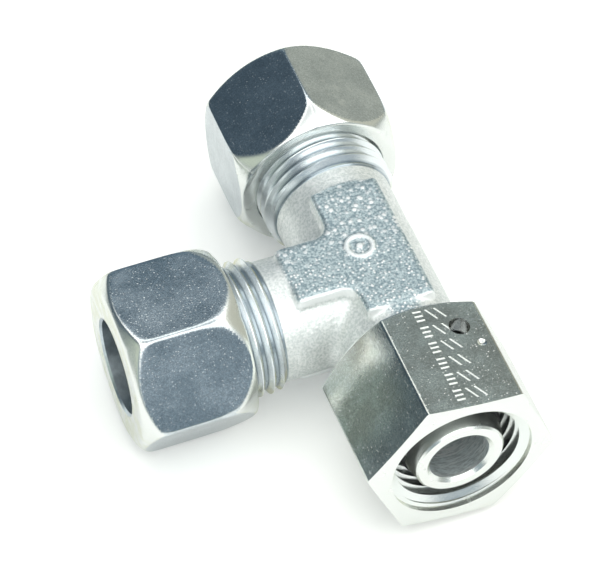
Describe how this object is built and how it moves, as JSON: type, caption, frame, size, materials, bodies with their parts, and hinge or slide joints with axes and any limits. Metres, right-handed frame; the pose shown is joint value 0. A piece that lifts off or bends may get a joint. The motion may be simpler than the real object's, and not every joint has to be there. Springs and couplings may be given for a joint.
{
  "type": "compression tee fitting",
  "caption": "Forged steel tee for hydraulic tube: a tube end and a tube branch with cutting rings and union nuts, and a sealing cone with a freely turning nut.",
  "frame": {"origin": "centre of the sealing cone's end face, on the run's axis", "axes": "+Y along the run from the swivel end to the tube end, -X along the branch, +Z out of the forging's upper flat"},
  "size_m": [0.0479, 0.0649, 0.0252],
  "materials": {
    "zinc_plated_forging": "bright zinc plate over a shot-blasted forging, machined bright at the ends",
    "zinc_plated_nut": "bright zinc plate over drawn hexagon bar, slightly speckled",
    "hardened_ring": "turned and zinc plated",
    "spring_wire": "drawn wire",
    "seal_rubber": "moulded nitrile rubber"
  },
  "bodies": {
    "tee": {"tee_body": "zinc_plated_forging", "cone_o_ring": "seal_rubber"},
    "run_ring": {"run_cutting_ring": "hardened_ring"},
    "run_union_nut": {"run_nut": "zinc_plated_nut"},
    "branch_ring": {"branch_cutting_ring": "hardened_ring"},
    "branch_union_nut": {"branch_nut": "zinc_plated_nut"},
    "swivel": {"swivel_nut": "zinc_plated_nut", "retaining_wire": "spring_wire"}
  },
  "joints": [
    {"name": "run_ring_slide", "type": "slide", "parent": "tee", "child": "run_ring", "axis": [0, 1, 0], "range_m": [-0.0034, 0.00455]},
    {"name": "run_nut_turn", "type": "hinge", "parent": "run_ring", "child": "run_union_nut", "pos_m": [0, 0.0565, 0], "axis": [0, 1, 0], "range_deg": [-810, 1080]},
    {"name": "branch_ring_slide", "type": "slide", "parent": "tee", "child": "branch_ring", "axis": [-1, 0, 0], "range_m": [-0.0034, 0.00455]},
    {"name": "branch_nut_turn", "type": "hinge", "parent": "branch_ring", "child": "branch_union_nut", "pos_m": [-0.0275, 0.029, 0], "axis": [-1, 0, 0], "range_deg": [-810, 1080]},
    {"name": "swivel_nut_turn", "type": "hinge", "parent": "tee", "child": "swivel", "pos_m": [0, 0.0119, 0], "axis": [0, -1, 0], "continuous": true}
  ],
  "couplings": [
    {"joint": "run_ring_slide", "follows": "run_nut_turn", "m_per_rad": 0.00023873},
    {"joint": "branch_ring_slide", "follows": "branch_nut_turn", "m_per_rad": 0.00023873}
  ]
}
